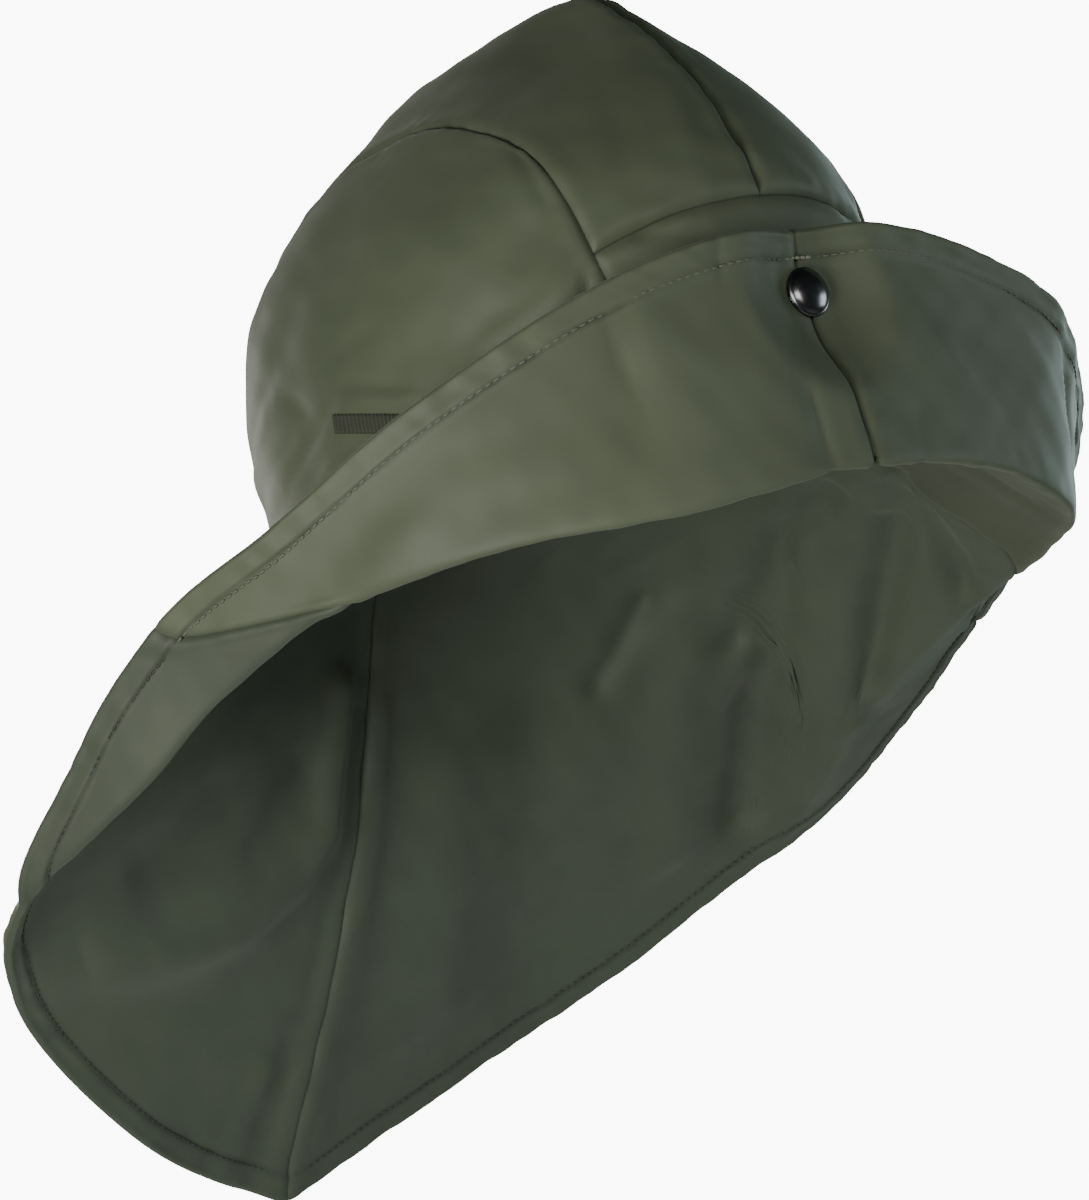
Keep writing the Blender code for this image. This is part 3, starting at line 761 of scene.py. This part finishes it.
CLOTH_MAT = coated_cloth("olive_coated_cloth", (0.064, 0.080, 0.049), (0.088, 0.105, 0.065), 0.58)
# Painted shade: a darker copy of the cloth for the flap's shown face, where it lies in shade
SHADED_FLAP_MAT = coated_cloth("olive_coated_cloth_shaded_flap", (0.042, 0.054, 0.036), (0.060, 0.075, 0.050), 0.60)
ELASTIC_MAT = coated_cloth("olive_ribbed_elastic", (0.026, 0.031, 0.020), (0.042, 0.050, 0.032), 0.7)
THREAD_MAT = thread("olive_thread", (0.115, 0.130, 0.095))
# Painted shade: a darker copy of the thread for the flap's stitches on its shown face
SHADED_FLAP_THREAD_MAT = thread("olive_thread_shaded_flap", (0.036, 0.044, 0.031))
PALE_THREAD_MAT = thread("pale_thread_knot", (0.26, 0.28, 0.20))
BAND_MAT = woven_band("black_woven_band")
STUD_MAT = black_nickel("black_nickel")


# Crown pieces

def crown_piece(name, way, seams, square=()):
    out = crown_normal(way)
    turn = np.degrees(np.arctan2(way[..., 0], -way[..., 1]))
    lift = np.degrees(np.arcsin(np.clip(way[..., 2], -1, 1)))
    # Painted shade: a soft dark patch on the upper crown, towards the wearer's right front
    patch = np.exp(-((lift - 62 + 0.27 * (turn + 60)) / 13) ** 2 - ((turn + 60) / 40) ** 2)
    middle = crown_at(way) - out * crown_wrinkles(way)[..., None]
    piece = sewn(name + "_cloth", middle, out, seams, None, CLOTH, CLOTH_MAT, square, PATCH_SHADE * patch)
    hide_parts(name)
    return piece


def crown_side(name, hand):
    u, v = np.meshgrid(marks(0.16, 96), marks(0.10, 64), indexing="ij")
    return crown_piece(name, side_panel_way(u, v, hand), ("first", "last", "high"), ("low",))


def crown_top(name, hand):
    half = -SEAM_LAP / RING_HALF_WIDTH
    s, t = np.meshgrid(marks(0.05, 32), marks(0.27, 170), indexing="ij")
    begin = FRONT_BAND_LIFT - math.degrees(SEAM_LAP / RING_HALF_LENGTH)
    angle = begin + (180 - begin) * t
    way = dome(half + (strip_edge(angle) - 2 * half) * s, angle)
    way[..., 0] *= hand
    return crown_piece(name, way, ("first", "last", "low"), ("high",))


def crown_band(name):
    half = -SEAM_LAP / RING_HALF_WIDTH
    s, t = np.meshgrid(marks(0.10, 64), marks(0.062, 40), indexing="ij")
    angle = (FRONT_BAND_LIFT + math.degrees(SEAM_LAP / RING_HALF_LENGTH)) * t
    way = dome((strip_edge(angle) - half) * (2 * s - 1), angle)
    return crown_piece(name, way, ("first", "last", "high"), ("low",))


# Brim pieces and their hems

def brim_piece(name, hand, front, cells, rise):
    trim = -math.degrees(SEAM_LAP / RING_HALF_WIDTH)
    parts = marks(0.20, cells)
    length = 0.10 if front else 0.15
    low = [0.0, 0.0002 / length, 0.0005 / length, 0.0010 / length, 0.0018 / length]
    high = [1 - f / length for f in HEM_FINE[::-1]] + [1.0]
    steps = np.array(low + list(np.linspace(low[-1], high[0], rise)[1:-1]) + high)
    turns = []
    shares = []
    for part in parts:
        def at(share):
            seam = side_seam(share)
            begin, end = (0 * seam + trim, seam - trim) if front else (seam + trim, 0 * seam + 180 - trim)
            return hand * (begin + (end - begin) * part)
        share = brim_rows(float(at(0.75)), steps)
        turns.append(at(share))
        shares.append(share)
    turns, shares = np.array(turns), np.array(shares)
    middle = brim_place(turns, shares)
    inward = np.stack([-np.sin(np.radians(turns)), np.cos(np.radians(turns)), 0 * turns], -1)
    facing = grid_normal(middle, np.where((shares < 0.02)[..., None], inward, brim_normal(turns, shares)))
    hem = measure(middle)[3]
    cloth = CLOTH_MAT if front else (SHADED_FLAP_MAT, CLOTH_MAT)
    # Painted shade: the front pieces are darkened from the ring up to the fold, behind the turned-up brim
    shade = INSIDE_SHADE * (1 - step(-0.06, 0.02, shares - fold_share(turns))) if front else 0.0
    piece = sewn(name + "_cloth", middle, -facing, ("first", "last"), hem, CLOTH, cloth, ("low",), shade)
    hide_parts(name)
    return piece


def edge_line(turns, inset):
    """Points a given distance inside the brim's edge, with the direction towards the head."""
    ends = brim_place(turns, np.ones_like(turns))
    near = brim_place(turns, np.full_like(turns, 0.95))
    long = np.linalg.norm(ends - near, axis=-1) / 0.05
    share = 1 - inset / long
    return brim_place(turns, share), brim_facing(turns, share)


def sew(name, points, facing, lift, length, width, gap=0.25, colour=THREAD_MAT):
    """A row of stitches along points, lying on the side that facing shows."""
    run = np.concatenate([[0], np.cumsum(np.linalg.norm(np.diff(points, axis=0), axis=-1))])
    count = max(2, int(run[-1] / length))
    mesh = bmesh.new()
    rng = np.random.default_rng(7)
    for k in range(count):
        ends = np.array([k + gap / 2, k + 1 - gap / 2]) * run[-1] / count
        a, b = (Vector([float(np.interp(e, run, points[:, c])) for c in range(3)]) for e in ends)
        mid = (ends[0] + ends[1]) / 2
        up = Vector([float(np.interp(mid, run, facing[:, c])) for c in range(3)]).normalized()
        along = (b - a).normalized()
        side = up.cross(along).normalized()
        up = along.cross(side)
        turn = Matrix((along, side, up)).transposed().to_4x4()
        wobble = side * float(rng.normal(0, 0.00006))
        spot = Matrix.Translation((a + b) / 2 + up * lift + wobble)
        size = Matrix.Diagonal(((b - a).length * 0.55, width, width * 0.75, 1))
        bmesh.ops.create_uvsphere(mesh, u_segments=6, v_segments=5, radius=1.0,
                                  matrix=spot @ turn @ size @ Matrix.Rotation(math.pi / 2, 4, "Y"))
    piece = finish(mesh, name, colour)
    return piece


def hem_stitches():
    for name, hand, low, high in (("brim_hem_stitches_right", -1, 0.5, SIDE_SEAM_TURN - 0.5),
                                  ("brim_hem_stitches_left", 1, 0.5, SIDE_SEAM_TURN - 0.5),
                                  ("flap_hem_stitches_right", -1, SIDE_SEAM_TURN + 0.5, 179.5),
                                  ("flap_hem_stitches_left", 1, SIDE_SEAM_TURN + 0.5, 179.5)):
        turns = hand * np.linspace(low, high, 700)
        points, inward = edge_line(turns, STITCH_LINE)
        # Painted shade: the flap's stitches on its shown face take the darker copy of the thread
        shown = THREAD_MAT if "brim" in name else SHADED_FLAP_THREAD_MAT
        sew(name, points, -inward, CLOTH / 2 + 0.0003, STITCH_LENGTH, STITCH_WIDTH, colour=shown)
        sew(name + "_inside", points, inward, CLOTH / 2 + 0.0002, STITCH_LENGTH, STITCH_WIDTH)
    turns = np.linspace(-3.2, 3.2, 60)
    points, inward = edge_line(turns, STITCH_LINE)
    sew("centre_backtack", points, -inward, CLOTH / 2 + 0.0005, 0.0018, 0.0006, 0.1, PALE_THREAD_MAT)


# Head band, side elastic and press stud

def head_band():
    """Woven band inside the crown at the ring, with its lower edge let down a little and two rows of
    stitches.
    """
    turns, part = np.meshgrid(np.radians(np.linspace(0, 360, 361)), np.linspace(0, 1, 15), indexing="ij")
    high = BAND_HEIGHT / CROWN_HEIGHT * part
    flat = np.sqrt(1 - high * high)
    way = np.stack([flat * np.sin(turns), -flat * np.cos(turns), high], -1)
    out = unit(crown_normal(way) * np.array([1, 1, 0]))
    inset = CLOTH / 2 + SEAM_GAP * 1.7 + BAND_THICKNESS / 2 + crown_wrinkles(way)
    drop = BAND_DROP * (1 - step(0, 0.12, part))
    place = crown_at(way) - out * inset[..., None] - np.array([0, 0, 1.0]) * drop[..., None]
    weave = 0.00012 * np.sin(part * 40) * np.sin(np.degrees(turns) * 1.0)
    half = (BAND_THICKNESS / 2 + weave)[..., None]
    mesh = bmesh.new()
    grids = []
    for points in (place + out * half, place - out * half):
        grids.append([[mesh.verts.new(points[i, j]) for j in range(15)] for i in range(360)])
    shown, hidden = grids
    for i in range(360):
        k = (i + 1) % 360
        for grid in grids:
            for j in range(14):
                mesh.faces.new((grid[i][j], grid[k][j], grid[k][j + 1], grid[i][j + 1]))
        for j in (0, 14):
            mesh.faces.new((shown[i][j], shown[k][j], hidden[k][j], hidden[i][j]))
    bmesh.ops.recalc_face_normals(mesh, faces=mesh.faces)
    piece = finish(mesh, "head_band_woven", BAND_MAT)
    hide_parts("head_band")
    for name, row in (("band_stitches_low", 2), ("band_stitches_high", 12)):
        sew(name, (place - out * half)[:, row], -out[:, row], 0.0001, STITCH_LENGTH, STITCH_WIDTH)


def side_elastic():
    middle, base = -80.0, 0.153
    part, around = np.meshgrid(np.linspace(-0.5, 0.5, 15), np.linspace(-0.5, 0.5, 241), indexing="ij")
    around_deg = around * math.degrees(ELASTIC_LENGTH / RING_HALF_WIDTH)
    turn = np.radians(middle + around_deg)
    fall = math.tan(math.radians(ELASTIC_TILT)) * np.radians(around_deg) * RING_HALF_WIDTH
    high = base + (part * ELASTIC_HEIGHT - fall) / CROWN_HEIGHT
    flat = np.sqrt(1 - high * high)
    way = np.stack([flat * np.sin(turn), -flat * np.cos(turn), high], -1)
    out = crown_normal(way)
    rib = 0.00040 * np.sin(around * ELASTIC_LENGTH / 0.0012 * 2 * math.pi)
    lift = CLOTH / 2 + ELASTIC_THICKNESS / 2 - 0.0001
    centre = crown_at(way) - out * crown_wrinkles(way)[..., None] + out * (lift + rib)[..., None]
    piece = sewn("side_elastic", centre, out, (), thick=ELASTIC_THICKNESS, material=ELASTIC_MAT)
    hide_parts("side_elastic")


def stud_cap():
    turn, share = np.zeros(1), np.full(1, STUD_SHARE)
    place = brim_place(turn, share)[0]
    out = Vector(-brim_facing(turn, share)[0])
    base = CLOTH / 2 + 0.0002
    spine = [(0, 0), (0.80, 0), (0.93, 0.02), (0.985, 0.09), (1.0, 0.18), (0.99, 0.27), (0.955, 0.34),
             (0.925, 0.37), (0.90, 0.40), (0.86, 0.48), (0.78, 0.62), (0.66, 0.76), (0.50, 0.88),
             (0.34, 0.95), (0.17, 0.99), (0, 1.0)]
    mesh = bmesh.new()
    verts = [mesh.verts.new((r * STUD_RADIUS, 0, base + h * STUD_DOME)) for r, h in spine]
    edges = [mesh.edges.new(pair) for pair in zip(verts, verts[1:])]
    bmesh.ops.spin(mesh, geom=verts + edges, cent=(0, 0, 0), axis=(0, 0, 1), angle=2 * math.pi, steps=64,
                   use_merge=True)
    bmesh.ops.remove_doubles(mesh, verts=mesh.verts, dist=1e-6)
    bmesh.ops.recalc_face_normals(mesh, faces=mesh.faces)
    turn = Vector((0, 0, 1)).rotation_difference(out).to_matrix().to_4x4()
    bmesh.ops.transform(mesh, matrix=Matrix.Translation(Vector(place)) @ turn, verts=mesh.verts)
    piece = finish(mesh, "stud_cap_dome", STUD_MAT)
    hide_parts("stud_cap")


crown_side("crown_side_right", -1)
crown_side("crown_side_left", 1)
crown_top("crown_top_right", -1)
crown_top("crown_top_left", 1)
crown_band("crown_front_band")
brim_piece("brim_front_right", -1, True, 120, 62)
brim_piece("brim_front_left", 1, True, 120, 62)
brim_piece("neck_flap_right", -1, False, 130, 96)
brim_piece("neck_flap_left", 1, False, 130, 96)
hem_stitches()
head_band()
side_elastic()
stud_cap()
for node in ("stud_socket", "stud_post"):
    bpy.data.objects[node].material_slots[0].material = STUD_MAT


# Floor, light and camera

floor_mat, floor_tree, floor_shader, floor_place = material("pale_floor")
floor_shader.inputs["Roughness"].default_value = 0.8
floor_tree.links.new(noise(floor_place, 3.0).mix((0.78, 0.78, 0.77, 1), (0.82, 0.82, 0.81, 1)).socket,
                     floor_shader.inputs["Base Color"])
mesh = bmesh.new()
bmesh.ops.create_circle(mesh, cap_ends=True, segments=64, radius=3.0, matrix=Matrix.Translation((0, 0, -1.3)))
data = bpy.data.meshes.new("pale_floor")
mesh.to_mesh(data)
mesh.free()
data.materials.append(floor_mat)
floor = bpy.data.objects.new("pale_floor", data)
bpy.context.scene.collection.objects.link(floor)

world = bpy.data.worlds.new("pale_studio")
bpy.context.scene.world = world
world.use_nodes = True
sky = world.node_tree
back = sky.nodes["Background"]
seen = sky.nodes.new("ShaderNodeLightPath")
power = sky.nodes.new("ShaderNodeMix")
heading = sky.nodes.new("ShaderNodeTexCoord")
heights = sky.nodes.new("ShaderNodeSeparateXYZ")
under = sky.nodes.new("ShaderNodeMapRange")
sky.links.new(heading.outputs["Generated"], heights.inputs[0])
sky.links.new(heights.outputs["Z"], under.inputs["Value"])
under.inputs["From Min"].default_value = -0.6
under.inputs["From Max"].default_value = 0.7
under.inputs["To Min"].default_value = 0.06
under.inputs["To Max"].default_value = 0.03
sky.links.new(under.outputs[0], power.inputs[2])
power.inputs[3].default_value = 10.0
sky.links.new(seen.outputs["Is Camera Ray"], power.inputs[0])
sky.links.new(power.outputs[0], back.inputs["Strength"])
tint = sky.nodes.new("ShaderNodeMix")
tint.data_type = "RGBA"
tint.inputs[6].default_value = (0.82, 1.0, 1.0, 1)
tint.inputs[7].default_value = (1.0, 1.0, 1.0, 1)
sky.links.new(seen.outputs["Is Camera Ray"], tint.inputs[0])
sky.links.new(tint.outputs[2], back.inputs["Color"])


def toward(azimuth, elevation):
    az, el = math.radians(azimuth), math.radians(elevation)
    return Vector((math.sin(az) * math.cos(el), -math.cos(az) * math.cos(el), math.sin(el)))


def softbox(name, azimuth, elevation, distance, size, watts, colour):
    lamp = bpy.data.lights.new(name, "AREA")
    lamp.shape = "RECTANGLE"
    lamp.size, lamp.size_y = size
    lamp.energy = watts
    lamp.color = colour
    item = bpy.data.objects.new(name, lamp)
    way = toward(azimuth, elevation)
    item.location = way * distance
    item.rotation_euler = way.to_track_quat("Z", "Y").to_euler()
    bpy.context.scene.collection.objects.link(item)


softbox("key_softbox", -76, -12, 1.6, (0.6, 0.6), 27, (1.0, 0.97, 0.92))
softbox("front_softbox", -8, 8, 2.0, (0.7, 0.5), 10, (1.0, 1.0, 0.95))
softbox("fill_softbox", 62, 0, 2.2, (0.9, 0.7), 10, (0.84, 0.98, 1.0))
softbox("edge_softbox", 110, 8, 1.8, (0.8, 0.8), 9, (0.75, 0.95, 1.0))
softbox("back_softbox", 176, 10, 2.2, (1.0, 0.8), 11, (1.0, 0.98, 0.94))


# The camera stands to the wearer's front right, a little below the rim, and is rolled
CAMERA_TURN, CAMERA_LIFT, CAMERA_ROLL = -40.0, -6.8, 12.5
CAMERA_DISTANCE = 1.6
LENS = 168.0
AIM_RIGHT, AIM_UP = -0.01443, -0.02943
view = toward(CAMERA_TURN, CAMERA_LIFT)
level = Vector((math.cos(math.radians(CAMERA_TURN)), math.sin(math.radians(CAMERA_TURN)), 0))
upright = view.cross(level)
roll = math.radians(CAMERA_ROLL)
right = level * math.cos(roll) - upright * math.sin(roll)
above = level * math.sin(roll) + upright * math.cos(roll)
lens = bpy.data.cameras.new("photo_camera")
lens.lens = LENS
lens.sensor_width = 36.0
camera = bpy.data.objects.new("photo_camera", lens)
spot = right * AIM_RIGHT + above * AIM_UP + view * CAMERA_DISTANCE
camera.matrix_world = Matrix.Translation(spot) @ Matrix((right, above, view)).transposed().to_4x4()
bpy.context.scene.collection.objects.link(camera)
bpy.context.scene.camera = camera
